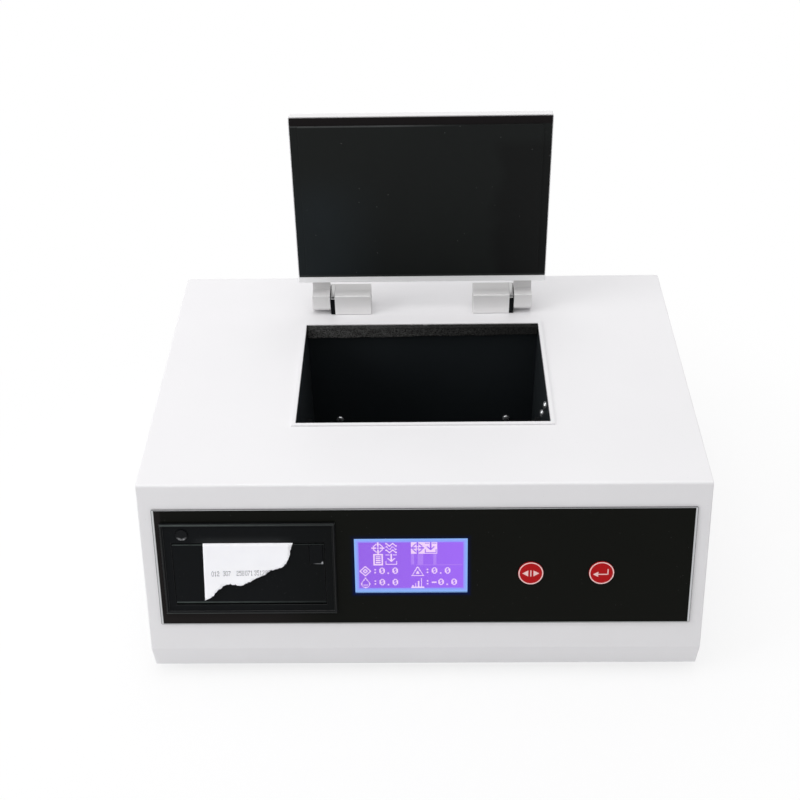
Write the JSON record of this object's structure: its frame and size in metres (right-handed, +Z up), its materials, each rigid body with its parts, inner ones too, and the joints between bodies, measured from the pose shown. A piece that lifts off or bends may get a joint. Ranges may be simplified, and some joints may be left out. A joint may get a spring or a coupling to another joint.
{
  "type": "benchtop colorimeter",
  "caption": "White bench colorimeter with a hinged lid over a dark sample chamber, and a sloped black panel with display, round keys and strip printer.",
  "frame": {"origin": "centre of the footprint, on the surface that the instrument stands on", "axes": "+X to the right of the user, +Y to the back, +Z up; the lid stands open and the printer door is closed"},
  "size_m": [0.36, 0.2689, 0.2899],
  "materials": {
    "white_paint": "satin",
    "grey_paint": "satin",
    "black_paint": "matte",
    "black_anodised": "satin",
    "panel_film": "satin",
    "clear_window": "gloss",
    "display_pink": "gloss",
    "bare_steel": "satin",
    "zinc_screws": "satin",
    "tinned_brass": "satin",
    "circuit_board": "satin",
    "black_plastic": "satin",
    "red_plastic": "satin",
    "black_rubber": "matte",
    "grey_foam": "matte",
    "black_liner": "matte",
    "white_paper": "matte",
    "nylon": "satin",
    "hinge_metal": "satin",
    "plated_steel": "satin",
    "optical_glass": "gloss",
    "lamp_ceramic": "matte"
  },
  "bodies": {
    "case": {"base_tray": "grey_paint", "board_spacers": "tinned_brass", "bottom_screws": "zinc_screws", "cell_holder": "black_anodised", "chamber_box": "black_paint", "chamber_bracket": "black_paint", "chamber_screws": "zinc_screws", "condenser_lens": "optical_glass", "detector_board": "circuit_board", "detector_bracket": "plated_steel", "detector_housing": "black_anodised", "display_board": "circuit_board", "display_frame": "bare_steel", "display_glass": "display_pink", "display_window": "clear_window", "fan_frame": "black_plastic", "feed_motor": "plated_steel", "foam_strip": "grey_foam", "front_panel": "panel_film", "halogen_lamp": "optical_glass", "hinge_base_left": "hinge_metal", "hinge_base_right": "hinge_metal", "hinge_pins": "bare_steel", "hinge_screws": "zinc_screws", "inlet_pins": "tinned_brass", "key_board": "circuit_board", "lamp_bracket": "plated_steel", "lamp_holder": "lamp_ceramic", "lens_tube": "black_anodised", "main_board": "circuit_board", "port_glasses": "optical_glass", "port_rings": "black_anodised", "power_inlet": "black_plastic", "power_supply": "plated_steel", "power_switch": "black_plastic", "print_head": "black_plastic", "printer_frame": "black_plastic", "rear_panel": "grey_paint", "rear_screws": "zinc_screws", "rubber_feet": "black_rubber", "serial_port": "bare_steel", "tear_bar": "bare_steel", "top_cover": "white_paint"},
    "lid": {"lid_shell": "white_paint", "lid_liner": "black_liner", "lid_screws": "zinc_screws", "hinge_arm_left": "hinge_metal", "hinge_arm_right": "hinge_metal"},
    "select_key": {"select_button": "red_plastic"},
    "confirm_key": {"confirm_button": "red_plastic"},
    "feed_key": {"feed_button": "black_plastic"},
    "door": {"printer_door": "black_plastic", "paper_strip": "white_paper"},
    "latch": {"door_latch": "black_plastic"},
    "platen": {"platen_roller": "black_rubber", "platen_shaft": "bare_steel"},
    "drive": {"drive_gear": "nylon"},
    "roll": {"paper_roll": "white_paper"},
    "rocker": {"switch_rocker": "black_plastic"},
    "rotor": {"fan_rotor": "black_plastic"}
  },
  "joints": [
    {"name": "lid_hinge", "type": "hinge", "parent": "case", "child": "lid", "pos_m": [0, 0.0924, 0.1482], "axis": [1, 0, 0], "range_deg": [0, 95.2]},
    {"name": "select_press", "type": "slide", "parent": "case", "child": "select_key", "axis": [0, 0.9528, -0.3036], "range_m": [0, 0.0008], "stiffness_N_per_m": 300},
    {"name": "confirm_press", "type": "slide", "parent": "case", "child": "confirm_key", "axis": [0, 0.9528, -0.3036], "range_m": [0, 0.0008], "stiffness_N_per_m": 300},
    {"name": "feed_press", "type": "slide", "parent": "case", "child": "feed_key", "axis": [0, 0.9528, -0.3036], "range_m": [0, 0.0008], "stiffness_N_per_m": 300},
    {"name": "door_hinge", "type": "hinge", "parent": "case", "child": "door", "pos_m": [-0.1114, -0.12359, 0.06125], "axis": [1, 0, 0], "range_deg": [0, 80]},
    {"name": "latch_press", "type": "slide", "parent": "door", "child": "latch", "axis": [0, 0.9528, -0.3036], "range_m": [0, 0.0012], "stiffness_N_per_m": 300},
    {"name": "platen_spin", "type": "hinge", "parent": "door", "child": "platen", "pos_m": [-0.1114, -0.10539, 0.09365], "axis": [1, 0, 0], "continuous": true},
    {"name": "drive_spin", "type": "hinge", "parent": "case", "child": "drive", "pos_m": [-0.1114, -0.09429, 0.09012], "axis": [1, 0, 0], "continuous": true},
    {"name": "roll_spin", "type": "hinge", "parent": "case", "child": "roll", "pos_m": [-0.1114, -0.0929, 0.06763], "axis": [1, 0, 0], "continuous": true},
    {"name": "rocker_tilt", "type": "hinge", "parent": "case", "child": "rocker", "pos_m": [0.13, 0.123, 0.081], "axis": [0, 0, 1], "range_deg": [-16, 0]},
    {"name": "fan_spin", "type": "hinge", "parent": "case", "child": "rotor", "pos_m": [-0.118, 0.1175, 0.085], "axis": [0, 1, 0], "continuous": true}
  ],
  "couplings": [
    {"joint": "drive_spin", "follows": "platen_spin", "ratio": -0.64286},
    {"joint": "roll_spin", "follows": "platen_spin", "ratio": 0.25}
  ]
}
